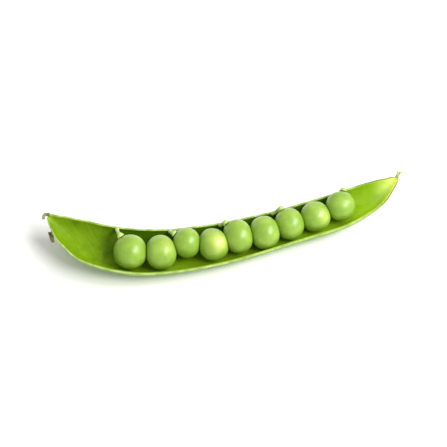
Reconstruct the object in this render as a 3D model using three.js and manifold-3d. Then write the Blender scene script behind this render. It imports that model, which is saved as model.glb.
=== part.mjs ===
// Half of a split garden pea pod with its nine peas, lying on its back on a flat surface.
//
// The pod was opened along both seams, and one valve is left: a thin boat-shaped shell, pointed at
// both ends. Peas grow from the upper seam, each on a short stalk that flares into a small cup at the
// seed. Every second pea belongs to this valve and still hangs on its stalk. The others grew on the
// valve that is gone, and lie loose between them. The stem end keeps the curled neck that the pod
// hung from and a dried scrap of the calyx, and the flower end keeps the withered style.
//
// Units are millimetres. The finished part has +X along the pod from the stem end to the flower end,
// +Y towards the upper seam and +Z up. Its origin is the middle of its footprint, on the surface.
//
// The pieces are shaped in the valve's own frame: u runs along the pod, v across it towards the upper
// seam, and w out of the hollow. The whole valve then leans over to its lower seam.

import * as THREE from "three";
import { mergeVertices } from "three/addons/utils/BufferGeometryUtils.js";
import Module from "manifold-3d";

const wasm = await Module();
wasm.setup();

// Driving dimensions.
const HALF_LENGTH = 53.5; // half the distance between the shell's two ends
const FULL_WIDTH = 16; // seam to seam where the pod is widest
const HOLLOW_DEPTH = 5.2; // from the seams down to the inside of the shell, where it is widest
const WALL = 1.1; // shell thickness at the bottom of the hollow
const END_WALL = 0.7; // shell thickness at the two ends
const RIM = 0.8; // width of the cut edge, where the other valve was
const LEAN = THREE.MathUtils.degToRad(1); // how far the upper seam is lifted
const FOOT_DEPTH = 0.6; // how far the soft shell flattens where it rests
const GAP = 0.3; // clearance between pieces that touch
const LEVEL_STRETCH = 12; // the seams lie level this far to each side of the middle
const STEM_RISE = 3.5; // how far the stem end curves up
const FLOWER_RISE = 2.8; // how far the flower end curves up
const RISE_POWER = 1.8; // how late that curve starts
const TAPER = 0.5; // how the hollow's depth follows its width towards the ends
const FILLED_SHARE = 0.2; // the share of the length at each end where flesh makes the hollow shallower
const END_HOLLOW = 0.35; // what is left of the hollow's depth at the two ends
const BOWL_SQUARENESS = 2.6; // how flat the bottom of the hollow is
const BOWL_FLARE = 0.8; // how much its sides lean outwards
const STALK_RADIUS = 0.58;
const CUP_RADIUS = 1.05; // the stalk's flared end at the seed

// How finely the surfaces are divided.
const SHELL_STATIONS = 60;
const SHELL_COLUMNS = 16;
const PEA_DETAIL = 3;
const LIMB_SIDES = 10;
const LIMB_STEPS = 6;

const STEM_GREEN = 0x6f8a3c;
const DRIED_BROWN = 0x7d7340;
const PALE_GREEN = 0xa9c878;
const STRAW = 0xcdd49a;
const SHELL_GREEN = 0x86b03a;
const PEA_GREEN = 0x96bf4e;

// The two seams from the stem end to the flower end, as (u, v). Points with the same place in both
// lists face each other across the hollow.
const upperSeam = new THREE.SplineCurve([
  new THREE.Vector2(-HALF_LENGTH, 0),
  new THREE.Vector2(-50.5, -0.6),
  new THREE.Vector2(-44, -2.4),
  new THREE.Vector2(-35, -5.4),
  new THREE.Vector2(-22, -7.9),
  new THREE.Vector2(-5, -8.0),
  new THREE.Vector2(14, -5.6),
  new THREE.Vector2(32, -2.3),
  new THREE.Vector2(43, -0.3),
  new THREE.Vector2(50.5, 0.3),
  new THREE.Vector2(HALF_LENGTH, 0.1),
]);
const lowerSeam = new THREE.SplineCurve([
  new THREE.Vector2(-HALF_LENGTH - 0.3, -1.8),
  new THREE.Vector2(-53.2, -5.0),
  new THREE.Vector2(-50.3, -11.5),
  new THREE.Vector2(-43.0, -18.8),
  new THREE.Vector2(-27, -23.6),
  new THREE.Vector2(-4, -22.7),
  new THREE.Vector2(17, -18.5),
  new THREE.Vector2(34.5, -15),
  new THREE.Vector2(46, -9.8),
  new THREE.Vector2(51.8, -3.6),
  new THREE.Vector2(HALF_LENGTH, -0.6),
]);

// The peas, from the stem end. u places a pea along the pod, and off moves it from the middle line
// towards the upper seam. size is its half extents along, across and up, turn is its slant in
// degrees, egg narrows its upper end, and block squares its ends where the neighbours press on it.
// A pea that hangs on a stalk has root, the stalk's place on the seam from the pea's own, and hilum,
// the direction in which it meets the pea.
const PEAS = [
  {
    u: -30.4, off: -0.4, size: [4.75, 5.1, 4.85], turn: -6, egg: 0.0, block: 2.3,
    root: -6.6, hilum: [-0.42, 0.72, 0.54],
  },
  { u: -21.5, off: -0.2, size: [4.25, 5.15, 4.85], turn: 2, egg: 0.05, block: 2.5 },
  {
    u: -13.5, off: 2.1, size: [4.1, 4.45, 4.35], turn: 10, egg: 0.08, block: 2.2,
    root: -5.9, hilum: [-0.75, 0.55, 0.4],
  },
  { u: -5.9, off: 0.4, size: [4.4, 4.95, 4.55], turn: 20, egg: 0.17, block: 2.2 },
  {
    u: 1.75, off: 0.85, size: [4.25, 5.2, 4.75], turn: 12, egg: 0.04, block: 2.3,
    root: -3.9, hilum: [-0.58, 0.66, 0.45],
  },
  { u: 9.8, off: -0.2, size: [4.3, 5.05, 4.7], turn: 4, egg: 0.04, block: 2.3 },
  {
    u: 17.7, off: 0.35, size: [4.15, 4.85, 4.55], turn: 6, egg: 0.0, block: 2.3,
    root: -3.0, hilum: [-0.38, 0.75, 0.52],
  },
  { u: 25.9, off: 0.55, size: [4.3, 4.5, 4.3], turn: 8, egg: 0.04, block: 2.4 },
  {
    u: 34.0, off: 0.95, size: [4.4, 4.45, 4.25], turn: 0, egg: 0.0, block: 2.2,
    root: 1.0, hilum: [0.28, 0.85, 0.45],
  },
];

// ---- Small helpers -----------------------------------------------------------------------------

// Leaves only positions, shared by the faces that meet there.
function welded(geometry) {
  geometry.deleteAttribute("normal");
  geometry.deleteAttribute("uv");
  return mergeVertices(geometry, 1e-4);
}

// Moves every vertex of a geometry to where place(x, y, z) says.
function shaped(geometry, place) {
  const position = geometry.getAttribute("position");
  for (let i = 0; i < position.count; i++) {
    const at = place(position.getX(i), position.getY(i), position.getZ(i));
    position.setXYZ(i, at.x, at.y, at.z);
  }
  return geometry;
}

function verticesOf(geometry) {
  const position = geometry.getAttribute("position");
  return Array.from({ length: position.count }, (_, i) =>
    new THREE.Vector3().fromBufferAttribute(position, i),
  );
}

// A round limb along a curve. Its radius changes smoothly through the given ones.
function limb(curve, radii) {
  const rod = welded(new THREE.CylinderGeometry(1, 1, 1, LIMB_SIDES, LIMB_STEPS));
  const girth = new THREE.SplineCurve(
    radii.map((radius, i) => new THREE.Vector2(i / (radii.length - 1), radius)),
  );
  const { normals, binormals } = curve.computeFrenetFrames(LIMB_STEPS);
  return shaped(rod, (x, y, z) => {
    const t = y + 0.5;
    const step = Math.round(t * LIMB_STEPS);
    const radius = girth.getPoint(t).y;
    return curve
      .getPointAt(t)
      .addScaledVector(binormals[step], x * radius)
      .addScaledVector(normals[step], z * radius);
  });
}

function solid(geometry) {
  return new wasm.Manifold(
    new wasm.Mesh({
      numProp: 3,
      vertProperties: geometry.getAttribute("position").array,
      triVerts: Uint32Array.from(geometry.getIndex().array),
    }),
  );
}

function surface(manifold) {
  const mesh = manifold.getMesh();
  const geometry = new THREE.BufferGeometry();
  geometry.setAttribute("position", new THREE.BufferAttribute(mesh.vertProperties, 3));
  geometry.setIndex(new THREE.BufferAttribute(mesh.triVerts, 1));
  return geometry;
}

// ---- The shell ---------------------------------------------------------------------------------

// How far a place along the pod is lifted out of the seams' level by the curve of the shell.
function riseAt(u) {
  const beyond = Math.max(0, Math.abs(u) - LEVEL_STRETCH);
  const most = u < 0 ? STEM_RISE : FLOWER_RISE;
  return most * (beyond / (HALF_LENGTH - LEVEL_STRETCH)) ** RISE_POWER;
}

// Cross-section: 0 at the seams, where across is -1 or 1, and 1 at the bottom of the hollow.
function bowl(across) {
  return Math.max(0, 1 - Math.abs(across) ** BOWL_SQUARENESS) ** BOWL_FLARE;
}

function rimWidth(width) {
  return Math.min(RIM, width / 4);
}

// A point on the shell. along runs from 0 to 1, across from -1 at the lower seam to 1 at the upper.
function shellPoint(along, across, isInner) {
  const upper = upperSeam.getPoint(along);
  const lower = lowerSeam.getPoint(along);
  const width = upper.distanceTo(lower);
  const fullness = (width / FULL_WIDTH) ** TAPER;
  const wall = THREE.MathUtils.lerp(END_WALL, WALL, Math.min(1, fullness));
  const belly = HOLLOW_DEPTH * fullness + wall;
  const open = THREE.MathUtils.smoothstep(Math.min(along, 1 - along), 0, FILLED_SHARE);
  const hollow = HOLLOW_DEPTH * fullness * THREE.MathUtils.lerp(END_HOLLOW, 1, open);
  const reach = isInner ? 1 - (2 * rimWidth(width)) / width : 1;
  const place = lower.clone().lerp(upper, (1 + across * reach) / 2);
  const depth = isInner ? hollow : belly;
  return new THREE.Vector3(place.x, place.y, riseAt(place.x) - depth * bowl(across));
}

// A slab bent into the boat. Its columns stand closer together towards the steep sides.
function makeShell() {
  const slab = welded(new THREE.BoxGeometry(1, 1, 1, SHELL_STATIONS, SHELL_COLUMNS, 1));
  return shaped(slab, (x, y, z) => shellPoint(x + 0.5, Math.sin(Math.PI * y), z > 0));
}

// Flattens the lowest part of the shell, so that it lies on a narrow foot.
function flattenFoot(shell) {
  const up = new THREE.Vector3(0, Math.sin(LEAN), Math.cos(LEAN));
  const lowest = Math.min(...verticesOf(shell).map((vertex) => vertex.dot(up)));
  return shaped(shell, (x, y, z) => {
    const at = new THREE.Vector3(x, y, z);
    return at.addScaledVector(up, Math.max(0, lowest + FOOT_DEPTH - at.dot(up)));
  });
}

// How far along both seams the place u lies, found by halving.
function alongAt(u) {
  let low = 0;
  let high = 1;
  for (let step = 0; step < 30; step++) {
    const mid = (low + high) / 2;
    if (upperSeam.getPoint(mid).x + lowerSeam.getPoint(mid).x < 2 * u) {
      low = mid;
    } else {
      high = mid;
    }
  }
  return low;
}

// The middle line between the seams at u.
function middleAt(u) {
  const along = alongAt(u);
  return upperSeam.getPoint(along).add(lowerSeam.getPoint(along)).multiplyScalar(0.5);
}

// ---- The peas ----------------------------------------------------------------------------------

// A pea's surface around its own centre, in the direction of a unit vector.
function peaPoint(pea, x, y, z) {
  const ring = Math.hypot(y, z);
  const reach = (Math.abs(x) ** pea.block + ring ** pea.block) ** (-1 / pea.block);
  const narrow = 1 - pea.egg * y;
  const [along, across, up] = pea.size;
  const slant = THREE.MathUtils.degToRad(pea.turn);
  return new THREE.Vector3(x * narrow * along, y * across, z * narrow * up)
    .multiplyScalar(reach)
    .applyAxisAngle(new THREE.Vector3(0, 0, 1), slant);
}

function makePea(pea) {
  const ball = welded(new THREE.IcosahedronGeometry(1, PEA_DETAIL));
  return shaped(ball, (x, y, z) => peaPoint(pea, x, y, z));
}

// How high a pea has to sit over (u, v) to keep the clearance from the inside of the shell.
function restingHeight(geometry, u, v, shell) {
  const ray = new THREE.Raycaster();
  const upwards = new THREE.Vector3(0, 0, 1);
  const hollow = new THREE.Mesh(shell, new THREE.MeshBasicMaterial({ side: THREE.DoubleSide }));
  let height = -Infinity;
  for (const vertex of verticesOf(geometry)) {
    ray.set(new THREE.Vector3(u + vertex.x, v + vertex.y, -2 * HOLLOW_DEPTH), upwards);
    const hits = ray.intersectObject(hollow);
    if (hits.length > 0) {
      height = Math.max(height, hits[hits.length - 1].point.z + GAP - vertex.z);
    }
  }
  return height;
}

// Flattens two neighbours against the plane half way between them, with the clearance kept.
function pressTogether(left, right) {
  const between = right.centre.clone().sub(left.centre);
  const share = left.pea.size[0] / (left.pea.size[0] + right.pea.size[0]);
  const normal = between.clone().normalize();
  const parting = left.centre.clone().addScaledVector(between, share);
  for (const [side, towards] of [[left, 1], [right, -1]]) {
    shaped(side.geometry, (x, y, z) => {
      const at = new THREE.Vector3(x, y, z);
      const beyond = towards * at.clone().add(side.centre).sub(parting).dot(normal) + GAP / 2;
      return at.addScaledVector(normal, -towards * Math.max(0, beyond));
    });
  }
}

// ---- The stalks and the two ends ---------------------------------------------------------------

// A pea stalk: from the inner edge of the upper seam, over into the hollow and down to its pea, where
// it is hollowed out to fit round the seed.
function makeStalk({ pea, centre }) {
  const along = alongAt(pea.u + pea.root);
  const edge = shellPoint(along, 1, true);
  const inwards = shellPoint(along, -1, true).sub(edge).normalize();
  const hilum = new THREE.Vector3(...pea.hilum).normalize();
  const end = peaPoint(pea, ...hilum.toArray()).add(centre);
  const start = edge.clone().addScaledVector(inwards, GAP).add(new THREE.Vector3(0, 0, 0.5));
  const curve = new THREE.CubicBezierCurve3(
    start,
    start.clone().addScaledVector(inwards, 0.5),
    end.clone().addScaledVector(hilum, 1.0),
    end,
  );
  const stalk = limb(curve, [STALK_RADIUS, STALK_RADIUS * 0.85, STALK_RADIUS, CUP_RADIUS]);
  const clearance = makePea({ ...pea, size: pea.size.map((half) => half + GAP) });
  clearance.translate(...centre.toArray());
  return surface(solid(stalk).subtract(solid(clearance)));
}

// The neck curls down and away from the stem end.
function makeNeck() {
  const root = new THREE.Vector3(-HALF_LENGTH - GAP, -0.4, STEM_RISE - 0.1);
  const curve = new THREE.QuadraticBezierCurve3(
    root,
    root.clone().add(new THREE.Vector3(-1.0, 0.3, 0.1)),
    root.clone().add(new THREE.Vector3(-1.1, -1.2, -0.5)),
  );
  return limb(curve, [0.5, 0.55, 0.5, 0.3]);
}

// A dried lobe of the calyx, stuck to the outside of the shell under the stem end.
function makeCalyx() {
  const thickness = 0.6;
  const path = [0.1, 0.135, 0.17].map((along) => {
    const at = shellPoint(along, -0.88, false);
    const lengthwise = shellPoint(along + 0.01, -0.88, false).sub(at);
    const crosswise = shellPoint(along, -0.84, false).sub(at);
    const outwards = crosswise.cross(lengthwise).normalize();
    return at.addScaledVector(outwards, GAP + thickness);
  });
  const radii = [0.7, 0.95, 1, 0.5].map((share) => share * thickness);
  return limb(new THREE.CatmullRomCurve3(path), radii);
}

// The withered style stands at the flower end, split into a stiff spike and a softer curl.
function makeStyle() {
  const root = new THREE.Vector3(HALF_LENGTH - 0.35, -0.15, FLOWER_RISE + GAP);
  const from = (x, y, z) => root.clone().add(new THREE.Vector3(x, y, z));
  const spike = new THREE.QuadraticBezierCurve3(root, from(-0.1, 0.3, 0.8), from(0, 0.7, 1.9));
  const curl = new THREE.QuadraticBezierCurve3(root, from(0.9, 0.4, 1.2), from(2.5, 0.5, 0.9));
  const parts = [limb(spike, [0.4, 0.32, 0.16]), limb(curl, [0.4, 0.42, 0.3, 0.2])];
  return surface(parts.map(solid).reduce((whole, next) => whole.add(next)));
}

// ---- The assembly ------------------------------------------------------------------------------

const pod = new THREE.Group();
pod.rotation.x = LEAN;

function add(name, geometry, color, roughness) {
  const material = new THREE.MeshStandardMaterial({ color, roughness, metalness: 0 });
  const mesh = new THREE.Mesh(geometry, material);
  mesh.name = name;
  pod.add(mesh);
  return mesh;
}

const shell = flattenFoot(makeShell());
add("pod_shell", shell, SHELL_GREEN, 0.5);

const seeds = PEAS.map((pea) => {
  const geometry = makePea(pea);
  const v = middleAt(pea.u).y + pea.off;
  const w = restingHeight(geometry, pea.u, v, shell);
  return { pea, geometry, centre: new THREE.Vector3(pea.u, v, w) };
});
for (let i = 1; i < seeds.length; i++) {
  pressTogether(seeds[i - 1], seeds[i]);
}
seeds.forEach((seed, index) => {
  add(`pea_${index + 1}`, seed.geometry, PEA_GREEN, 0.35).position.copy(seed.centre);
  if (seed.pea.hilum) {
    add(`pea_stalk_${index + 1}`, makeStalk(seed), PALE_GREEN, 0.5);
  }
});

add("stem_neck", makeNeck(), STEM_GREEN, 0.7);
add("calyx_remains", makeCalyx(), DRIED_BROWN, 0.85);
add("style_tip", makeStyle(), STRAW, 0.8);

// The part stands on the ground, with the middle of its footprint at the origin.
const part = new THREE.Group();
part.add(pod);
part.updateMatrixWorld(true);
const extent = new THREE.Box3().setFromObject(part, true);
const middle = extent.getCenter(new THREE.Vector3());
part.position.set(-middle.x, -middle.y, -extent.min.z);

export default part;
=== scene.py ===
import math

import bmesh
import bpy
import numpy as np
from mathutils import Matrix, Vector, noise
from mathutils.bvhtree import BVHTree


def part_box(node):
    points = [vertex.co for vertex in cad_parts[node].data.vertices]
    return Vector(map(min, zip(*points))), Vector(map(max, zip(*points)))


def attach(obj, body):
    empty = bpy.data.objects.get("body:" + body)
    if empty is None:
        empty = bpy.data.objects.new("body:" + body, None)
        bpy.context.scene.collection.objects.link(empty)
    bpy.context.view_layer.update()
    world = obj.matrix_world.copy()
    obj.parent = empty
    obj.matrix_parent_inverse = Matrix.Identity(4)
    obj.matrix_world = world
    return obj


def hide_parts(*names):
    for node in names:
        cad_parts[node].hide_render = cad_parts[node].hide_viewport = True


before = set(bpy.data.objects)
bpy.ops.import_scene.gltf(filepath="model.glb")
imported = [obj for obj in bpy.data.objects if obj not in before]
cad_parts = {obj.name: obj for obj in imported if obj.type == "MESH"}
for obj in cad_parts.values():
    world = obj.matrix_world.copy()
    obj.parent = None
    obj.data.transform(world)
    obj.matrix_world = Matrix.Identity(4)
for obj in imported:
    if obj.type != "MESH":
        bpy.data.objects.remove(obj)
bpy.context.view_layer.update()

# ---- The table and the light -------------------------------------------------------------------
# A plain white table top under a large soft light from the right, with bright white surroundings
# that fill the shadows. The camera looks down into the open pod from its lower seam's side.

MM = 0.001
TABLE_WHITE = (0.93, 0.93, 0.92)
TABLE_ROUGHNESS = 0.6
TABLE_SIDE = 6.0
CAMERA_DISTANCE = 0.320
CAMERA_LENS = 85.3
CAMERA_ELEVATION = math.radians(53)
CAMERA_AZIMUTH = math.radians(-8)
AIM = Vector((-1.81, 4.808, 3.787)) * MM
KEY_DIRECTION = Vector((0.66, -0.05, 0.75))
KEY_DISTANCE = 0.7
KEY_SIZE = (0.26, 0.30)
KEY_POWER = 2.7
FRONT_DIRECTION = Vector((0.50, -0.42, 0.76))
FRONT_DISTANCE = 0.6
FRONT_SIZE = (0.22, 0.22)
FRONT_POWER = 2.3
SURROUNDINGS = 0.62
SURROUNDINGS_WHITE = (1, 0.99, 0.95)


def from_angle(azimuth, elevation):
    """The direction towards a viewer; azimuth 0 stands on the -Y side."""
    level = math.cos(elevation)
    return Vector((math.sin(azimuth) * level, -math.cos(azimuth) * level, math.sin(elevation)))


def aimed(obj, place, target):
    """Links a camera or a light at place, turned to face target."""
    obj.location = place
    obj.rotation_euler = (target - place).to_track_quat("-Z", "Y").to_euler()
    bpy.context.scene.collection.objects.link(obj)
    return obj


def soft_light(name, direction, distance, size, power):
    """A rectangular light at some distance from the pod, in the given direction."""
    light = bpy.data.lights.new(name, "AREA")
    light.shape = "RECTANGLE"
    light.size, light.size_y = size
    light.energy = power
    return aimed(bpy.data.objects.new(name, light), AIM + direction.normalized() * distance, AIM)


def table_top():
    side = TABLE_SIDE / 2
    mesh = bpy.data.meshes.new("table_top")
    corners = [(-side, -side, 0), (side, -side, 0), (side, side, 0), (-side, side, 0)]
    mesh.from_pydata(corners, [], [(0, 1, 2, 3)])
    finish = bpy.data.materials.new("white_table")
    finish.use_nodes = True
    shader = finish.node_tree.nodes["Principled BSDF"]
    shader.inputs["Base Color"].default_value = (*TABLE_WHITE, 1)
    shader.inputs["Roughness"].default_value = TABLE_ROUGHNESS
    mesh.materials.append(finish)
    table = bpy.data.objects.new("table_top", mesh)
    bpy.context.scene.collection.objects.link(table)


lens = bpy.data.cameras.new("camera")
lens.lens = CAMERA_LENS
lens.sensor_width = 36
lens.clip_start = 0.01
view = from_angle(CAMERA_AZIMUTH, CAMERA_ELEVATION)
bpy.context.scene.camera = aimed(
    bpy.data.objects.new("camera", lens), AIM + view * CAMERA_DISTANCE, AIM
)
soft_light("key_light", KEY_DIRECTION, KEY_DISTANCE, KEY_SIZE, KEY_POWER)
soft_light("front_light", FRONT_DIRECTION, FRONT_DISTANCE, FRONT_SIZE, FRONT_POWER)
world = bpy.data.worlds.new("white_surroundings")
world.use_nodes = True
background = world.node_tree.nodes["Background"]
background.inputs["Color"].default_value = (*SURROUNDINGS_WHITE, 1)
background.inputs["Strength"].default_value = SURROUNDINGS
bpy.context.scene.world = world
bpy.context.scene.view_settings.view_transform = "Standard"
table_top()


# ---- The pod shell -----------------------------------------------------------------------------
# One valve of a garden pea pod: a thin, crisp, juicy wall that grew as a closed boat and was split
# along both seams. Inside it is smooth and shiny, outside duller with a waxy bloom and pale specks,
# and along the split seams its cut edge shows pale.

# The pod's own frame has u along the pod, v across it and w out of its hollow. Lengths in it are
# millimetres, and a length that is multiplied by MM is in the model's metres.
HALF_LENGTH = 53.5
FULL_WIDTH = 16.0
HOLLOW_DEPTH = 5.2
WALL = 1.1
END_WALL = 0.7
RIM = 0.8
LEAN = math.radians(1)
LEVEL_STRETCH = 12.0
STEM_RISE = 3.5
FLOWER_RISE = 2.8
RISE_POWER = 1.8
TAPER = 0.5
FILLED_SHARE = 0.2
END_HOLLOW = 0.35
BOWL_SQUARENESS = 2.6
BOWL_FLARE = 0.8
UPPER_SEAM = [
    (-HALF_LENGTH, 0), (-50.5, -0.6), (-44, -2.4), (-35, -5.4), (-22, -7.9), (-5, -8.0),
    (14, -5.6), (32, -2.3), (43, -0.3), (50.5, 0.3), (HALF_LENGTH, 0.1),
]
LOWER_SEAM = [
    (-HALF_LENGTH - 0.3, -1.8), (-53.2, -5.0), (-50.3, -11.5), (-43.0, -18.8), (-27, -23.6),
    (-4, -22.7), (17, -18.5), (34.5, -15), (46, -9.8), (51.8, -3.6), (HALF_LENGTH, -0.6),
]
FOOT_BLEND = 0.12 * MM

# How finely the shell is divided, and how much its rings crowd towards the two tips.
STATIONS = 420
CROWDING = 0.35
INNER_STEPS = 60
LIP_STEPS = 8
OUTER_STEPS = 64

# The rounded lip with its groove, and where its cut colour fades in, from the inner skin's side.
LIP_HEIGHT = 0.16
LIP_ROUNDNESS = 0.7
LIP_GROOVE = 0.35
LIP_GROOVE_WIDTH = 0.16
LIP_RAGGEDNESS = 0.5
LIP_RAGGED_LENGTH = 2.3
UPPER_CUT = (0.1, 0.35)
LOWER_CUT = (0.3, 0.6)
CUT_SHARPNESS = 60

# What the peas and the growth left in the wall: prints, waves and edges that stray a little.
PEAS = range(1, 10)
PRINT_SHARES = (0.75, 0.95)
INNER_PRINT = 0.22
INNER_PRINT_LEVEL = 0.4
OUTER_PRINT = 0.33
OUTER_PRINT_LEVEL = 0.3
WAVINESS = 0.12
WAVE_LENGTH = 7.0
EDGE_WANDER = 0.22
EDGE_WANDER_LENGTH = 5.0
EDGES_APART = 40


def seam_point(seam, along):
    """A smooth curve through the seam's points, evenly spaced by count; along is an array 0 to 1."""
    points = np.array(seam, float)
    last = len(points) - 1
    place = np.clip(along, 0, 1) * last
    start = np.minimum(place.astype(int), last - 1)
    t = (place - start)[..., None]
    before, here = points[np.maximum(start - 1, 0)], points[start]
    there, after = points[start + 1], points[np.minimum(start + 2, last)]
    leave, arrive = (there - before) / 2, (after - here) / 2
    return (
        (2 * here - 2 * there + leave + arrive) * t**3
        + (3 * there - 3 * here - 2 * leave - arrive) * t**2
        + leave * t
        + here
    )


def rise_at(u):
    """How high the seams lie at u: level in the middle stretch, rising towards both tips."""
    beyond = np.maximum(0, np.abs(u) - LEVEL_STRETCH) / (HALF_LENGTH - LEVEL_STRETCH)
    return np.where(u < 0, STEM_RISE, FLOWER_RISE) * beyond**RISE_POWER


def shell_surface(along, across, is_inner):
    """Places on the wall's inner or outer skin, in the pod's own millimetres (u, v, w)."""
    upper, lower = seam_point(UPPER_SEAM, along), seam_point(LOWER_SEAM, along)
    width = np.linalg.norm(upper - lower, axis=-1)
    fullness = (width / FULL_WIDTH) ** TAPER
    wall = END_WALL + (WALL - END_WALL) * np.minimum(1, fullness)
    reach = 1 - 2 * np.minimum(RIM, width / 4) / width if is_inner else 1
    near_end = np.clip(np.minimum(along, 1 - along) / FILLED_SHARE, 0, 1)
    hollow = END_HOLLOW + (1 - END_HOLLOW) * near_end**2 * (3 - 2 * near_end)
    depth = HOLLOW_DEPTH * fullness * hollow if is_inner else HOLLOW_DEPTH * fullness + wall
    share = ((1 + across * reach) / 2)[..., None]
    place = lower + (upper - lower) * share
    bowl = np.maximum(0, 1 - np.abs(across) ** BOWL_SQUARENESS) ** BOWL_FLARE
    return np.concatenate([place, (rise_at(place[..., 0]) - depth * bowl)[..., None]], -1)


def leaned(places):
    """From the pod's own frame to the upright frame, before the shift to the model's origin."""
    u, v, w = places[..., 0], places[..., 1], places[..., 2]
    y = v * math.cos(LEAN) - w * math.sin(LEAN)
    z = v * math.sin(LEAN) + w * math.cos(LEAN)
    return np.stack([u, y, z], -1)


def pod_shift():
    """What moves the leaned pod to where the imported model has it."""
    along, across = np.meshgrid(np.linspace(0, 1, 61), np.linspace(-1, 1, 17))
    highest = leaned(shell_surface(along, across, False)).max((0, 1))
    return np.array(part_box("pod_shell")[1]) / MM - highest


SHIFT = pod_shift()


def placed(places):
    """From the pod's own millimetres to the model's metres."""
    return (leaned(places) + SHIFT) * MM


def in_pod(point):
    """The reverse of placed, for one point of the model."""
    x, y, z = np.array(point) / MM - SHIFT
    v = y * math.cos(LEAN) + z * math.sin(LEAN)
    w = z * math.cos(LEAN) - y * math.sin(LEAN)
    return np.array([x, v, w])


def ripple(places, size, seed):
    """Smooth noise over places, with waves of about this size."""
    flat = places.reshape(-1, 3) / size + seed
    return np.array([noise.noise(Vector(p)) for p in flat]).reshape(places.shape[:-1])


def pea_prints(places):
    """1 under the middle of a pea, falling to 0 between the peas."""
    prints = np.zeros(places.shape[:-1])
    for number in PEAS:
        low, high = (np.array(corner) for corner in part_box(f"pea_{number}"))
        middle = in_pod((low + high) / 2)
        half = (high - low)[:2] / 2 / MM * PRINT_SHARES
        away = ((places[..., 0] - middle[0]) / half[0]) ** 2
        away += ((places[..., 1] - middle[1]) / half[1]) ** 2
        prints = np.maximum(prints, np.exp(-away))
    return prints


def edge_wander(along, across):
    """How far the two cut edges stray sideways; the skin between them strays less and less."""
    length, side = along * 2 * HALF_LENGTH, np.sign(across) * EDGES_APART
    route = np.stack([length, side, np.zeros_like(along)], -1)
    return EDGE_WANDER * ripple(route, EDGE_WANDER_LENGTH, 12.3) * np.abs(across) ** 6


def shell_rings():
    """The wall as closed rings, one per station, with each point's skin coordinates."""
    along = (1 - np.cos(np.linspace(0, math.pi, STATIONS))) / 2 * CROWDING
    along += np.linspace(0, 1, STATIONS) * (1 - CROWDING)
    inner = np.sin(np.linspace(-1, 1, INNER_STEPS) * math.pi / 2)
    outer = np.sin(np.linspace(1, -1, OUTER_STEPS) * math.pi / 2)
    a_in, s_in = np.meshgrid(along, inner, indexing="ij")
    a_out, s_out = np.meshgrid(along, outer, indexing="ij")
    skin_in, skin_out = shell_surface(a_in, s_in, True), shell_surface(a_out, s_out, False)
    skin_in[..., 1] += edge_wander(a_in, s_in)
    skin_out[..., 1] += edge_wander(a_out, s_out)

    prints_in, prints_out = pea_prints(skin_in), pea_prints(skin_out)
    body_in, body_out = 1 - s_in**4, 1 - s_out**4
    skin_in[..., 2] -= INNER_PRINT * (prints_in - INNER_PRINT_LEVEL) * body_in
    skin_out[..., 2] -= OUTER_PRINT * (prints_out - OUTER_PRINT_LEVEL) * body_out
    skin_in[..., 2] += WAVINESS * ripple(skin_in, WAVE_LENGTH, 3.1) * body_in
    skin_out[..., 2] += WAVINESS * ripple(skin_out, WAVE_LENGTH, 3.1) * body_out

    def lip(start, end, side):
        """A rounded edge from start to end, with a shallow groove where the two valves met."""
        t = np.linspace(0, 1, LIP_STEPS + 2)[1:-1]
        width = np.linalg.norm(end - start, axis=-1)[:, None]
        groove = LIP_GROOVE * np.exp(-(((t - 0.5) / LIP_GROOVE_WIDTH) ** 2))
        crown = np.sin(t * math.pi) ** LIP_ROUNDNESS - groove
        points = start[:, None] * (1 - t[:, None]) + end[:, None] * t[:, None]
        ragged = 1 + LIP_RAGGEDNESS * ripple(start + side, LIP_RAGGED_LENGTH, 8.7)[:, None]
        points[..., 2] += np.minimum(LIP_HEIGHT, 0.4 * width) * crown * ragged
        return points, t

    upper_lip, t = lip(skin_in[:, -1], skin_out[:, 0], 0)
    lower_lip, _ = lip(skin_out[:, -1], skin_in[:, 0], EDGES_APART)
    rings = np.concatenate([skin_in, upper_lip, skin_out, lower_lip], 1)

    upper_cut = np.interp(t, UPPER_CUT, (0, 1))
    lower_cut = np.interp(t, LOWER_CUT, (0, 1))[::-1]
    inside = [np.ones(INNER_STEPS), 1 - upper_cut, np.zeros(OUTER_STEPS), 1 - lower_cut]
    on_lip = [np.zeros(INNER_STEPS), upper_cut, np.abs(outer) ** CUT_SHARPNESS, lower_cut]
    across = [inner, np.ones(LIP_STEPS), outer, -np.ones(LIP_STEPS)]
    return along, rings, [np.concatenate(parts) for parts in (inside, on_lip, across)]


def soft_foot(points):
    """The soft shell lies flat on the table under its belly."""
    z = points[..., 2]
    pressed = FOOT_BLEND * np.exp(np.minimum(z, FOOT_BLEND) / FOOT_BLEND - 1)
    points[..., 2] = np.where(z < FOOT_BLEND, pressed, z)
    return points


def keep_attribute(mesh, name, values):
    """Stores one number for each vertex, for a material to read."""
    layer = mesh.attributes.new(name, "FLOAT", "POINT")
    layer.data.foreach_set("value", np.asarray(values, np.float32))


def shell_mesh():
    """The shell as quads, with the skin coordinates that its material reads."""
    along, rings, (inside, on_lip, across) = shell_rings()
    points = soft_foot(placed(rings))
    stations, around = points.shape[:2]
    index = np.arange(stations * around).reshape(stations, around)
    following = np.roll(index, -1, 1)
    quads = np.stack([index[:-1], following[:-1], following[1:], index[1:]], -1).reshape(-1, 4)
    mesh = bpy.data.meshes.new("pod_shell_skin")
    ends = [index[0].tolist(), index[-1][::-1].tolist()]
    mesh.from_pydata(points.reshape(-1, 3).tolist(), [], quads.tolist() + ends)
    for name, values in (("inside", inside), ("on_lip", on_lip), ("across", across)):
        keep_attribute(mesh, name, np.tile(values, stations))
    keep_attribute(mesh, "along", np.repeat(along, around))
    keep_attribute(mesh, "pea_shade", pea_prints(rings).ravel())
    return mesh


MERGE_DISTANCE = 1e-7


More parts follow.
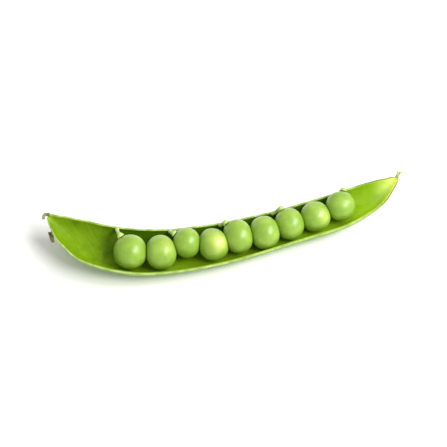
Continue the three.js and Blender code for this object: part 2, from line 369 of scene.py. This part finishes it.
def closed_outwards(mesh):
    """Merges what meets, points every face outwards and shades the mesh smooth."""
    work = bmesh.new()
    work.from_mesh(mesh)
    bmesh.ops.remove_doubles(work, verts=work.verts, dist=MERGE_DISTANCE)
    bmesh.ops.recalc_face_normals(work, faces=work.faces)
    work.to_mesh(mesh)
    work.free()
    mesh.polygons.foreach_set("use_smooth", np.ones(len(mesh.polygons), bool))
    mesh.update()
    return mesh


def piece(name, mesh, finish, slot, *nodes):
    """A finished piece of the pod: it takes its finish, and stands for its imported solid."""
    mesh.materials.clear()
    mesh.materials.append(finish)
    obj = bpy.data.objects.new(name, mesh)
    bpy.context.scene.collection.objects.link(obj)
    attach(obj, "root")
    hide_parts(*nodes)
    return obj


class Finish:
    """A material under construction: adds nodes and joins their sockets."""

    def __init__(self, name, **shader):
        self.material = bpy.data.materials.new(name)
        self.material.use_nodes = True
        self.tree = self.material.node_tree
        self.shader = self.tree.nodes["Principled BSDF"]
        for socket, value in shader.items():
            self.shader.inputs[socket.replace("_", " ")].default_value = value

    def node(self, kind, inputs=(), **settings):
        made = self.tree.nodes.new("ShaderNode" + kind)
        for name, value in settings.items():
            setattr(made, name, value)
        for socket, value in dict(inputs).items():
            if isinstance(value, bpy.types.NodeSocket):
                self.tree.links.new(value, made.inputs[socket])
            else:
                made.inputs[socket].default_value = value
        return made

    def object_place(self):
        return self.node("TexCoord").outputs["Object"]

    def attribute(self, name):
        return self.node("Attribute", attribute_name=name).outputs["Fac"]

    def math(self, operation, *values):
        return self.node("Math", dict(enumerate(values)), operation=operation).outputs[0]

    def band(self, value, low, high):
        """0 below low, 1 above high, and smooth between; high may be the smaller."""
        inputs = {"Value": value, "From Min": low, "From Max": high}
        return self.node("MapRange", inputs, interpolation_type="SMOOTHSTEP").outputs[0]

    def cloud(self, vector, scale, detail, roughness=0.5):
        inputs = {"Vector": vector, "Scale": scale, "Detail": detail, "Roughness": roughness}
        return self.node("TexNoise", inputs).outputs["Fac"]

    def blend(self, amount, one, other):
        """Mixes two colours, each a socket or a triple."""
        made = self.node("Mix", data_type="RGBA")
        pairs = ((made.inputs[0], amount), (made.inputs[6], one), (made.inputs[7], other))
        for socket, value in pairs:
            if isinstance(value, bpy.types.NodeSocket):
                self.tree.links.new(value, socket)
            else:
                socket.default_value = (*value, 1) if isinstance(value, tuple) else value
        return made.outputs[2]

    def plant_skin(self, place, patch_scale, grain_scale, speck_scale, speck_size):
        """The living skin's patches, grain and specks at these scales."""
        inputs = {
            "Coordinates": place, "Patch scale": patch_scale, "Grain scale": grain_scale,
            "Speck scale": speck_scale, "Speck size": speck_size,
        }
        skin = self.node("Group", inputs, node_tree=LIVING_SKIN)
        return [skin.outputs[name] for name in ("Patches", "Grain", "Specks")]

    def use(self, socket, value):
        self.tree.links.new(value, self.shader.inputs[socket])

    def bump(self, strength, distance, height):
        inputs = {"Strength": strength, "Distance": distance, "Height": height}
        self.use("Normal", self.node("Bump", inputs).outputs["Normal"])


def living_skin_group():
    """Plant skin: broad soft patches, fine cell grain and scattered specks, each 0 to 1."""
    group = bpy.data.node_groups.new("living_skin", "ShaderNodeTree")
    for name, kind, value in (
        ("Coordinates", "NodeSocketVector", None),
        ("Patch scale", "NodeSocketFloat", 200.0),
        ("Grain scale", "NodeSocketFloat", 2500.0),
        ("Speck scale", "NodeSocketFloat", 700.0),
        ("Speck size", "NodeSocketFloat", 0.2),
    ):
        socket = group.interface.new_socket(name, in_out="INPUT", socket_type=kind)
        if value is not None:
            socket.default_value = value
    for name in ("Patches", "Grain", "Specks"):
        group.interface.new_socket(name, in_out="OUTPUT", socket_type="NodeSocketFloat")
    nodes, links = group.nodes, group.links
    given, result = nodes.new("NodeGroupInput"), nodes.new("NodeGroupOutput")
    for scale, output, detail in (("Patch scale", "Patches", 3), ("Grain scale", "Grain", 2)):
        cloud = nodes.new("ShaderNodeTexNoise")
        cloud.inputs["Detail"].default_value = detail
        links.new(given.outputs["Coordinates"], cloud.inputs["Vector"])
        links.new(given.outputs[scale], cloud.inputs["Scale"])
        links.new(cloud.outputs["Fac"], result.inputs[output])
    cells = nodes.new("ShaderNodeTexVoronoi")
    links.new(given.outputs["Coordinates"], cells.inputs["Vector"])
    links.new(given.outputs["Speck scale"], cells.inputs["Scale"])
    spot = nodes.new("ShaderNodeMapRange")
    spot.interpolation_type = "SMOOTHSTEP"
    links.new(cells.outputs["Distance"], spot.inputs["Value"])
    links.new(given.outputs["Speck size"], spot.inputs["From Min"])
    spot.inputs["From Max"].default_value = 0.0
    links.new(spot.outputs[0], result.inputs["Specks"])
    return group


LIVING_SKIN = living_skin_group()


def pod_skin():
    """Green outside with bloom and specks; inside yellower towards the flower end, with painted light and
    painted shade; a pale lip.
    """
    inner_green, inner_gold, pale_and_painted_glow = (0.17, 0.305, 0.005), (0.23, 0.40, 0.009), (0.72, 0.87, 0.26)
    deep_green_and_painted_shade, shade_green, glow_green = (0.09, 0.19, 0.003), (0.045, 0.115, 0.0), (0.30, 0.46, 0.02)
    near_wall_painted_light, stem_end_painted_highlight = (0.45, 0.68, 0.02), (0.36, 0.50, 0.05)
    outer_green, outer_bloom, outer_speck = (0.17, 0.33, 0.035), (0.33, 0.50, 0.13), (0.55, 0.70, 0.33)
    lip_green, lip_pale, lip_olive = (0.21, 0.34, 0.05), (0.50, 0.62, 0.20), (0.15, 0.17, 0.03)
    finish = Finish("pod_skin", IOR=1.42, Subsurface_Radius=(1.0, 1.0, 0.25))
    place = finish.object_place()
    along, across = finish.attribute("along"), finish.attribute("across")
    inside, on_lip = finish.attribute("inside"), finish.attribute("on_lip")
    patches, grain, specks = finish.plant_skin(place, 250.0, 2600.0, 620.0, 0.28)

    # Fine fibres run slantwise through the inner skin.
    lengthwise = finish.math("MULTIPLY_ADD", along, 95.0, finish.math("MULTIPLY", across, 9.0))
    crosswise = finish.math("MULTIPLY", across, 2.2)
    slant = finish.node("CombineXYZ", {"X": lengthwise, "Y": crosswise}).outputs[0]
    fibres = finish.cloud(slant, 1.0, 3.0)

    # The inner skin from stem end to flower end, with painted light, and painted shade where the peas shade
    # it.
    colour = finish.blend(finish.band(along, 0.50, 0.76), inner_green, inner_gold)
    # Painted light: the inner side of the near wall is painted brighter, as if lit through the thin wall.
    near = finish.math("MULTIPLY", finish.band(across, 0.2, -0.7), finish.band(along, 0.30, 0.80))
    colour = finish.blend(finish.math("MULTIPLY", near, 0.9), colour, near_wall_painted_light)
    # Towards the flower end the inside turns pale: partly its own paler colour, partly painted glow of light
    # through the thin wall.
    pale_from = finish.math("MULTIPLY_ADD", across, 0.03, 0.78)
    colour = finish.blend(finish.band(along, pale_from, 0.92), colour, pale_and_painted_glow)
    # A painted highlight on the inside at the stem end.
    colour = finish.blend(finish.band(along, 0.11, 0.02), colour, stem_end_painted_highlight)
    colour = finish.blend(finish.math("MULTIPLY", finish.band(fibres, 0.42, 0.75), 0.4), colour, glow_green)
    darker = finish.math("MULTIPLY", finish.band(patches, 0.45, 0.75), finish.band(along, 0.95, 0.70))
    colour = finish.blend(finish.math("MULTIPLY", darker, 0.4), colour, deep_green_and_painted_shade)
    blotches = finish.cloud(place, 95.0, 4.0, 0.65)
    colour = finish.blend(finish.math("MULTIPLY", finish.band(blotches, 0.50, 0.68), 0.5), colour, glow_green)
    # Painted shade under the peas; the darker patches above are the skin's own mottling.
    colour = finish.blend(finish.math("MULTIPLY", finish.attribute("pea_shade"), 0.35), colour, deep_green_and_painted_shade)
    # Painted shade on the far wall between the peas.
    row = finish.math("MULTIPLY", finish.band(along, 0.22, 0.36), finish.band(along, 0.78, 0.66))
    far = finish.math("MULTIPLY", finish.band(across, -0.05, 0.5), row)
    colour = finish.blend(finish.math("MULTIPLY", far, 0.95), colour, shade_green)

    # The outer skin, with its waxy bloom and pale specks.
    bloom = finish.band(patches, 0.35, 0.7)
    outer = finish.blend(finish.math("MULTIPLY", bloom, 0.55), outer_green, outer_bloom)
    outer = finish.blend(finish.math("MULTIPLY", specks, 0.5), outer, outer_speck)
    colour = finish.blend(inside, outer, colour)

    # The cut edge, dried to olive at both tips.
    uneven = finish.cloud(place, 420.0, 4.0)
    tips = finish.math("ADD", finish.band(along, 0.74, 0.84), finish.band(along, 0.06, 0.0))
    lip = finish.blend(finish.band(uneven, 0.30, 0.70), lip_green, lip_pale)
    lip = finish.blend(tips, lip, lip_olive)
    colour = finish.blend(finish.math("MULTIPLY", on_lip, 0.9), colour, lip)
    finish.use("Base Color", colour)

    # The wall is thinner towards the flower end and lets more light through.
    thin = finish.band(along, 0.66, 0.90)
    finish.use("Subsurface Weight", finish.math("MULTIPLY_ADD", thin, 0.5, 0.2))
    finish.use("Subsurface Scale", finish.math("MULTIPLY_ADD", thin, 3.0 * MM, 1.0 * MM))
    dull = finish.math("MULTIPLY_ADD", inside, -0.12, 0.5)
    finish.use("Roughness", finish.math("MULTIPLY_ADD", grain, 0.12, dull))
    finish.use("Specular IOR Level", finish.math("MULTIPLY_ADD", inside, -0.24, 0.34))
    coarse = finish.math("MULTIPLY", finish.math("SUBTRACT", 1.0, inside), specks)
    height = finish.math("MULTIPLY_ADD", grain, 0.5, finish.math("MULTIPLY_ADD", fibres, 0.6, coarse))
    finish.bump(0.35, 0.12 * MM, height)
    return finish.material


piece("pod_shell_skin", closed_outwards(shell_mesh()), pod_skin(), "pod_green", "pod_shell")


# ---- The peas ----------------------------------------------------------------------------------
# Nine fresh seeds in smooth, slightly translucent coats. They swelled until they pressed on each
# other, so their neighbouring sides are flattened. Each has a small pale scar where its stalk was.

PEA_ROUNDS = 5
PEA_SMOOTHING = 40
PEA_SWELL = 0.08 * MM
PEA_LUMPS = 0.07 * MM
PEA_LUMP_SCALE = 1.7
PEA_DIMPLES = 0.012 * MM
PEA_DIMPLE_SCALE = 5.0
SCAR_HALF = (1.0 * MM, 0.45 * MM)
SCAR_DEPTH = 0.10 * MM
RIDGE_PLACE = 1.25
RIDGE_WIDTH = 0.3
RIDGE_SHARE = 0.4
# For each stalked seed: how far along the pod from its middle its stalk starts, and which way its
# scar faces.
STALKED = {
    1: (-6.6, (-0.42, 0.72, 0.54)),
    3: (-5.9, (-0.75, 0.55, 0.4)),
    5: (-3.9, (-0.58, 0.66, 0.45)),
    7: (-3.0, (-0.38, 0.75, 0.52)),
    9: (1.0, (0.28, 0.85, 0.45)),
}
LOOSE_SCAR = (0.15, 0.93, 0.33)
# The seeds with a yellow spot: which way it faces, and how strong it is.
BLUSHES = {
    1: ((0.5, 0.5, 0.6), 0.25),
    2: ((0.3, -0.2, 0.9), 0.35),
    4: ((0.35, -0.45, 0.82), 1.0),
    8: ((0.55, -0.6, 0.5), 0.45),
}
BLUSH_REACH = 0.5


def packed_solid(node):
    """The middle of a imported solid's box, and the solid as a tree for casting rays."""
    low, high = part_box(node)
    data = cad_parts[node].data
    corners = [vertex.co for vertex in data.vertices]
    faces = [tuple(face.vertices) for face in data.polygons]
    return (low + high) / 2, BVHTree.FromPolygons(corners, faces)


def seed_surface(node, directions, edges):
    """Distances from the seed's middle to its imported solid, with the facets smoothed away."""
    middle, solid = packed_solid(node)
    reach = np.array([solid.ray_cast(middle, Vector(d))[3] for d in directions])
    counts = np.bincount(edges.ravel(), minlength=len(reach))
    for _ in range(PEA_SMOOTHING):
        sums = np.bincount(edges[:, 0], reach[edges[:, 1]], len(reach))
        sums += np.bincount(edges[:, 1], reach[edges[:, 0]], len(reach))
        reach = 0.5 * reach + 0.5 * sums / counts
    return np.array(middle), reach


def pea_mesh(number):
    """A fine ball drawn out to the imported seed, with lumps, dimples and the scar of its stalk."""
    node = f"pea_{number}"
    ball = bmesh.new()
    bmesh.ops.create_icosphere(ball, subdivisions=PEA_ROUNDS, radius=1)
    mesh = bpy.data.meshes.new(f"{node}_coat")
    ball.to_mesh(mesh)
    ball.free()
    directions = np.array([v.co.normalized() for v in mesh.vertices])
    edges = np.array([e.vertices for e in mesh.edges])
    middle, reach = seed_surface(node, directions, edges)

    scar_at = np.array(STALKED[number][1] if number in STALKED else LOOSE_SCAR)
    scar_at = scar_at / np.linalg.norm(scar_at)
    wide = np.cross(scar_at, (0, 0, 1))
    wide /= np.linalg.norm(wide)
    tall = np.cross(wide, scar_at)
    facing = directions @ scar_at
    off = (directions @ wide * reach / SCAR_HALF[0]) ** 2
    off += (directions @ tall * reach / SCAR_HALF[1]) ** 2
    scar = np.where(facing > 0, np.exp(-(off**2)), 0)
    ridge = np.where(facing > 0, np.exp(-((np.sqrt(off) - RIDGE_PLACE) / RIDGE_WIDTH) ** 2), 0)
    lumps = ripple(directions * PEA_LUMP_SCALE, 1, np.array([number, 0, 0]))
    dimples = ripple(directions * PEA_DIMPLE_SCALE, 1, np.array([0, number, 0]))
    reach = reach + PEA_SWELL + PEA_LUMPS * lumps + PEA_DIMPLES * dimples
    reach += SCAR_DEPTH * (RIDGE_SHARE * ridge - scar)

    places = middle + directions * reach[:, None]
    mesh.vertices.foreach_set("co", places.astype(np.float32).ravel())
    blush = np.zeros(len(reach))
    if number in BLUSHES:
        spot, strength = BLUSHES[number]
        near = np.arccos(np.clip(directions @ (np.array(spot) / np.linalg.norm(spot)), -1, 1))
        blush = strength * np.exp(-((near / BLUSH_REACH) ** 2))
    keep_attribute(mesh, "scar", scar)
    keep_attribute(mesh, "blush", blush)
    return closed_outwards(mesh)


def pea_coat():
    """A matt green seed under a satin coat, mottled, with a yellow spot on a few of the seeds."""
    coat_green, coat_light, coat_dark = (0.245, 0.415, 0.037), (0.33, 0.50, 0.065), (0.165, 0.315, 0.018)
    yellow, scar_pale = (0.72, 0.80, 0.20), (0.62, 0.72, 0.42)
    finish = Finish(
        "pea_coat", IOR=1.42, Specular_IOR_Level=0.2, Coat_Weight=1.0, Coat_Roughness=0.35,
        Subsurface_Weight=0.35, Subsurface_Scale=1.6 * MM, Subsurface_Radius=(1.0, 1.0, 0.3),
    )
    patches, grain, specks = finish.plant_skin(finish.object_place(), 260.0, 3800.0, 1500.0, 0.3)
    colour = finish.blend(finish.band(patches, 0.42, 0.72), coat_green, coat_light)
    colour = finish.blend(finish.math("MULTIPLY", finish.band(patches, 0.45, 0.25), 0.5), colour, coat_dark)
    colour = finish.blend(finish.math("MULTIPLY", specks, 0.12), colour, coat_light)
    colour = finish.blend(finish.math("MULTIPLY", finish.attribute("blush"), 0.75), colour, yellow)
    colour = finish.blend(finish.attribute("scar"), colour, scar_pale)
    finish.use("Base Color", colour)
    finish.use("Roughness", finish.math("MULTIPLY_ADD", grain, 0.14, 0.42))
    height = finish.math("MULTIPLY_ADD", patches, 2.0, grain)
    finish.bump(0.22, 0.1 * MM, height)
    return finish.material


PEA_COAT = pea_coat()
for number in PEAS:
    piece(f"pea_{number}_coat", pea_mesh(number), PEA_COAT, "pea_green", f"pea_{number}")


# ---- The pea stalks ----------------------------------------------------------------------------
# Short juicy stalks that fed the peas. Each grows out of the upper seam's inner edge, is narrow in
# the middle and flares into a small cup that held its seed.

STALK_WIDTHS = {"Root radius": 0.68 * MM, "Waist radius": 0.50 * MM, "End radius": 1.12 * MM}
CUP_CLEARANCE = 0.22 * MM
WELD_DISTANCE = 2e-6
ROOT_OUTWARDS = 0.05
ROOT_DROP = 0.15
LEAVE_LENGTH = 0.8
ARRIVE_LENGTH = 0.9 * MM


def set_curve(node, points):
    """Gives a Float Curve node its points, smooth between them."""
    curve = node.mapping.curves[0]
    while len(curve.points) < len(points):
        curve.points.new(0.5, 0.5)
    for point, (x, y) in zip(curve.points, points):
        point.location = (x, y)
        point.handle_type = "AUTO"
    node.mapping.update()


def limb_tree():
    """A round limb along a Bezier path: a foot, a waist and an end that closes as a shallow cup."""
    tree = bpy.data.node_groups.new("limb_along_path", "GeometryNodeTree")
    sockets = [("Root", "Vector"), ("Leave", "Vector"), ("Arrive", "Vector"), ("End", "Vector")]
    sockets += [("Root radius", "Float"), ("Waist radius", "Float"), ("End radius", "Float")]
    sockets += [("Rings", "Int"), ("Sides", "Int"), ("Finish", "Material")]
    for name, kind in sockets:
        tree.interface.new_socket(name, in_out="INPUT", socket_type="NodeSocket" + kind)
    tree.interface.new_socket("Geometry", in_out="OUTPUT", socket_type="NodeSocketGeometry")
    nodes, links = tree.nodes, tree.links
    given, result = nodes.new("NodeGroupInput"), nodes.new("NodeGroupOutput")

    def node(kind, inputs=(), **settings):
        made = nodes.new(kind)
        for name, value in settings.items():
            setattr(made, name, value)
        for socket, value in dict(inputs).items():
            if isinstance(value, bpy.types.NodeSocket):
                links.new(value, made.inputs[socket])
            else:
                made.inputs[socket].default_value = value
        return made

    def maths(operation, *values):
        return node("ShaderNodeMath", dict(enumerate(values)), operation=operation).outputs[0]

    def vector(operation, *values):
        return node("ShaderNodeVectorMath", dict(enumerate(values)), operation=operation).outputs[0]

    def scaled(arrow, length):
        return node("ShaderNodeVectorMath", {0: arrow, "Scale": length}, operation="SCALE").outputs[0]

    path = node("GeometryNodeCurvePrimitiveBezierSegment", {
        "Start": given.outputs["Root"], "Start Handle": given.outputs["Leave"],
        "End Handle": given.outputs["Arrive"], "End": given.outputs["End"], "Resolution": 32,
    })
    sheet = node("GeometryNodeMeshGrid", {
        "Size X": 1.0, "Size Y": 1.0,
        "Vertices X": given.outputs["Rings"], "Vertices Y": given.outputs["Sides"],
    })
    spot = node("ShaderNodeSeparateXYZ", {0: node("GeometryNodeInputPosition").outputs[0]})
    profile = maths("ADD", spot.outputs["X"], 0.5)
    turn = maths("MULTIPLY", maths("ADD", spot.outputs["Y"], 0.5), math.tau)

    def shape(points):
        made = node("ShaderNodeFloatCurve", {"Value": profile})
        set_curve(made, points)
        return made.outputs[0]

    distance = shape([(0, 0), (0.06, 0), (0.86, 1), (0.9, 1), (1, 0.93)])
    foot = shape([(0, 1), (0.06, 1), (0.35, 0.12), (0.5, 0), (1, 0)])
    flare = shape([(0, 0), (0.4, 0), (0.62, 0.3), (0.86, 1), (1, 1)])
    closing = shape([(0, 0), (0.05, 0.96), (0.1, 1), (0.86, 1), (0.9, 0.86), (1, 0)])
    waist = given.outputs["Waist radius"]
    radius = maths("MULTIPLY_ADD", foot, maths("SUBTRACT", given.outputs["Root radius"], waist), waist)
    radius = maths("MULTIPLY_ADD", flare, maths("SUBTRACT", given.outputs["End radius"], waist), radius)
    radius = maths("MULTIPLY", radius, closing)
    sample = node("GeometryNodeSampleCurve", {"Curves": path.outputs[0], "Factor": distance}, mode="FACTOR")
    ahead, side = sample.outputs["Tangent"], sample.outputs["Normal"]
    third = vector("CROSS_PRODUCT", ahead, side)
    outwards = vector(
        "ADD",
        scaled(side, maths("MULTIPLY", radius, maths("COSINE", turn))),
        scaled(third, maths("MULTIPLY", radius, maths("SINE", turn))),
    )
    place = vector("ADD", sample.outputs["Position"], outwards)
    moved = node("GeometryNodeSetPosition", {"Geometry": sheet.outputs[0], "Position": place})
    doubled = {"Geometry": moved.outputs[0], "Distance": WELD_DISTANCE}
    welded = node("GeometryNodeMergeByDistance", doubled)
    real = node("GeometryNodeRealizeInstances", {"Geometry": welded.outputs[0]})
    finished = {"Geometry": real.outputs[0], "Material": given.outputs["Finish"]}
    painted = node("GeometryNodeSetMaterial", finished)
    links.new(painted.outputs[0], result.inputs[0])
    return tree


LIMB_TREE = limb_tree()


def grown(tree, **values):
    """Runs a geometry tree on an empty carrier and returns the plain mesh that it grows."""
    carrier = bpy.data.objects.new("carrier", bpy.data.meshes.new("carrier"))
    bpy.context.scene.collection.objects.link(carrier)
    modifier = carrier.modifiers.new("grow", "NODES")
    modifier.node_group = tree
    for item in tree.interface.items_tree:
        if item.in_out == "INPUT" and item.name in values:
            modifier[item.identifier] = values[item.name]
    evaluated = carrier.evaluated_get(bpy.context.evaluated_depsgraph_get())
    mesh = bpy.data.meshes.new_from_object(evaluated)
    carrier.modifiers.remove(modifier)
    bpy.data.objects.remove(carrier)
    return mesh


def limb(root, leave, arrive, end, widths, finish, rings=40, sides=25):
    """One limb; leave and arrive are the handles of its Bezier path."""
    values = {"Root": root, "Leave": leave, "Arrive": arrive, "End": end}
    values = {name: tuple(float(x) for x in place) for name, place in values.items()}
    values.update(widths)
    return grown(LIMB_TREE, **values, Rings=rings, Sides=sides, Finish=finish)


def roughened(mesh, amount, size, seed):
    """Moves every vertex along its normal by smooth noise."""
    closed_outwards(mesh)
    for vertex in mesh.vertices:
        push = amount * noise.noise(vertex.co / size + Vector((seed, seed, seed)))
        vertex.co += vertex.normal * push
    mesh.update()
    return mesh


def along_at(u):
    """How far along the seams the pod's place u lies."""
    share = np.linspace(0, 1, 2001)
    middle = (seam_point(UPPER_SEAM, share)[:, 0] + seam_point(LOWER_SEAM, share)[:, 0]) / 2
    return float(np.interp(u, middle, share))


def stalk_green():
    pale, green = (0.55, 0.70, 0.24), (0.42, 0.58, 0.15)
    finish = Finish(
        "stalk_skin", Roughness=0.42, IOR=1.42, Subsurface_Weight=0.3, Subsurface_Scale=0.8 * MM
    )
    patches, grain, _ = finish.plant_skin(finish.object_place(), 450.0, 4200.0, 2200.0, 0.2)
    finish.use("Base Color", finish.blend(finish.band(patches, 0.35, 0.65), green, pale))
    finish.bump(0.3, 0.1 * MM, grain)
    return finish.material


STALK_GREEN = stalk_green()


def stalk_mesh(number):
    """From the upper seam's inner edge to just above the scar of its pea."""
    offset, hilum = STALKED[number]
    middle, solid = packed_solid(f"pea_{number}")
    along = np.array(along_at(in_pod(middle)[0] + offset))
    edge = shell_surface(along, np.array(1.0), True)
    opposite = shell_surface(along, np.array(-1.0), True)
    inwards = (opposite - edge) / np.linalg.norm(opposite - edge)
    towards = Vector(hilum).normalized()
    end = solid.ray_cast(middle, towards)[0] + towards * CUP_CLEARANCE
    root = placed(edge - ROOT_OUTWARDS * inwards - np.array([0, 0, ROOT_DROP]))
    leave = placed(edge + LEAVE_LENGTH * inwards)
    arrive = end + towards * ARRIVE_LENGTH
    return closed_outwards(limb(root, leave, arrive, end, STALK_WIDTHS, STALK_GREEN))


for number in STALKED:
    piece(f"pea_{number}_stalk", stalk_mesh(number), STALK_GREEN, "stalk_green", f"pea_stalk_{number}")


# ---- The stem neck -----------------------------------------------------------------------------
# The short curled neck that the pod hung from: a tough green stem, drying to olive. It grows out of
# the shell's stem end as one piece with the seams.

NECK_ROOT = np.array([-HALF_LENGTH + 0.5, -0.5, STEM_RISE])
NECK_ROUTE = ([0, 0, 0], [-1.3, 0.5, 0.15], [-1.9, 0.1, 0.1], [-1.85, -1.1, -0.35])
NECK_WIDTHS = {"Root radius": 0.62 * MM, "Waist radius": 0.5 * MM, "End radius": 0.42 * MM}
NECK_ROUGHNESS = 0.12 * MM
NECK_LUMP = 0.5 * MM


def dry_finish(name, dark, light, edge, patch_scale, roughness):
    """Dry plant matter: dark and light patches, a speckle of a third colour and a grainy skin."""
    finish = Finish(name, Roughness=roughness, IOR=1.45, Specular_IOR_Level=0.2)
    patches, grain, specks = finish.plant_skin(finish.object_place(), patch_scale, 5200.0, 2600.0, 0.2)
    colour = finish.blend(finish.band(patches, 0.3, 0.6), dark, light)
    finish.use("Base Color", finish.blend(finish.math("MULTIPLY", specks, 0.5), colour, edge))
    finish.bump(0.5, 0.2 * MM, grain)
    return finish.material


def neck_mesh(finish):
    places = [placed(NECK_ROOT + np.array(step)) for step in NECK_ROUTE]
    return roughened(limb(*places, NECK_WIDTHS, finish), NECK_ROUGHNESS, NECK_LUMP, 4.0)


NECK_OLIVE = dry_finish(
    "neck_olive", (0.15, 0.20, 0.05), (0.27, 0.32, 0.10), (0.45, 0.46, 0.22), 900.0, 0.6
)
piece("stem_neck_curl", neck_mesh(NECK_OLIVE), NECK_OLIVE, "stem_green", "stem_neck")


# ---- The calyx's remains -----------------------------------------------------------------------
# A dried scrap of the flower's calyx: a thin, brown, curled sheet with ragged edges. It has stuck to
# the outside of the shell, under the stem end.

CALYX_THICKNESS = 0.16 * MM
CALYX_LENGTH = 2.9 * MM
CALYX_HALF_WIDTH = 0.55 * MM
CALYX_CURL = 2.6
CALYX_CURL_RADIUS = 0.5 * MM
CALYX_DROP = 1.3 * MM
CALYX_LEAN = 0.6 * MM
CALYX_SINK = 0.25 * MM
CALYX_WRINKLE = 0.25 * MM
CALYX_RAGGEDNESS = 0.25
CALYX_STEPS = (26, 16)


def calyx_sheet():
    """The scrap as an open sheet: s runs along it and t around its curl, both -0.5 to 0.5."""
    low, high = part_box("calyx_remains")
    middle = (low + high) / 2 - Vector((0, 0, CALYX_SINK))
    work = bmesh.new()
    lengthwise, crosswise = CALYX_STEPS
    bmesh.ops.create_grid(work, x_segments=lengthwise, y_segments=crosswise, size=0.5)
    for vertex in work.verts:
        s, t = vertex.co.x, vertex.co.y
        wrinkle = noise.noise(Vector((s * 5, t * 7, 1.3)))
        ragged = 1 + CALYX_RAGGEDNESS * noise.noise(Vector((s * 9, 4.0, t * 2)))
        curl = CALYX_CURL * t * ragged
        x = CALYX_HALF_WIDTH * math.sin(curl) * (1 - 0.5 * abs(s)) + CALYX_LEAN * s
        z = CALYX_CURL_RADIUS * (1 - math.cos(curl)) - CALYX_DROP * s + CALYX_WRINKLE * wrinkle
        vertex.co = middle + Vector((x, -CALYX_LENGTH * s, z))
    sheet = bpy.data.meshes.new("calyx_sheet")
    work.to_mesh(sheet)
    work.free()
    return sheet


def thickened(sheet, thickness):
    """A closed mesh from an open sheet."""
    carrier = bpy.data.objects.new("sheet", sheet)
    bpy.context.scene.collection.objects.link(carrier)
    carrier.modifiers.new("thickness", "SOLIDIFY").thickness = thickness
    evaluated = carrier.evaluated_get(bpy.context.evaluated_depsgraph_get())
    mesh = bpy.data.meshes.new_from_object(evaluated)
    bpy.data.objects.remove(carrier)
    return closed_outwards(mesh)


CALYX_BROWN = dry_finish(
    "dry_calyx", (0.08, 0.06, 0.018), (0.42, 0.37, 0.18), (0.78, 0.72, 0.50), 800.0, 0.8
)
calyx = thickened(calyx_sheet(), CALYX_THICKNESS)
piece("calyx_scrap", calyx, CALYX_BROWN, "dried_brown", "calyx_remains")


# ---- The style's tip ---------------------------------------------------------------------------
# The withered style at the flower end, dry and straw-coloured: it has split into two stiff prongs
# and a papery curl, which grow out of the shell's tip.

STYLE_ROOT = np.array([HALF_LENGTH - 0.35, -0.1, FLOWER_RISE])
PRONG_WIDTHS = {"Root radius": 0.42 * MM, "Waist radius": 0.22 * MM, "End radius": 0.12 * MM}
CURL_WIDTHS = {"Root radius": 0.45 * MM, "Waist radius": 0.38 * MM, "End radius": 0.16 * MM}
STYLE_ROUTES = (
    (PRONG_WIDTHS, ([-0.4, 0, -0.3], [-0.2, 0.3, 0.6], [-0.05, 0.5, 1.2], [0.1, 0.8, 2.1])),
    (PRONG_WIDTHS, ([0.1, -0.2, -0.3], [0.2, 0.1, 0.4], [0.5, 0.3, 0.8], [0.8, 0.6, 1.3])),
    (CURL_WIDTHS, ([0, 0, 0], [0.5, 0.6, 1.4], [1.4, 0.6, 1.9], [2.5, 0.3, 1.1])),
)
STYLE_ROUGHNESS = 0.1 * MM
STYLE_LUMP = 0.5 * MM


def joined(name, parts):
    """One mesh from several."""
    work = bmesh.new()
    for part in parts:
        work.from_mesh(part)
    mesh = bpy.data.meshes.new(name)
    work.to_mesh(mesh)
    work.free()
    return mesh


def style_mesh(finish):
    limbs = [
        limb(*[placed(STYLE_ROOT + np.array(step)) for step in route], widths, finish)
        for widths, route in STYLE_ROUTES
    ]
    return roughened(joined("style", limbs), STYLE_ROUGHNESS, STYLE_LUMP, 9.0)


STYLE_STRAW = dry_finish(
    "dry_style", (0.36, 0.42, 0.14), (0.66, 0.70, 0.38), (0.85, 0.86, 0.60), 900.0, 0.75
)
piece("style_prongs", style_mesh(STYLE_STRAW), STYLE_STRAW, "straw", "style_tip")
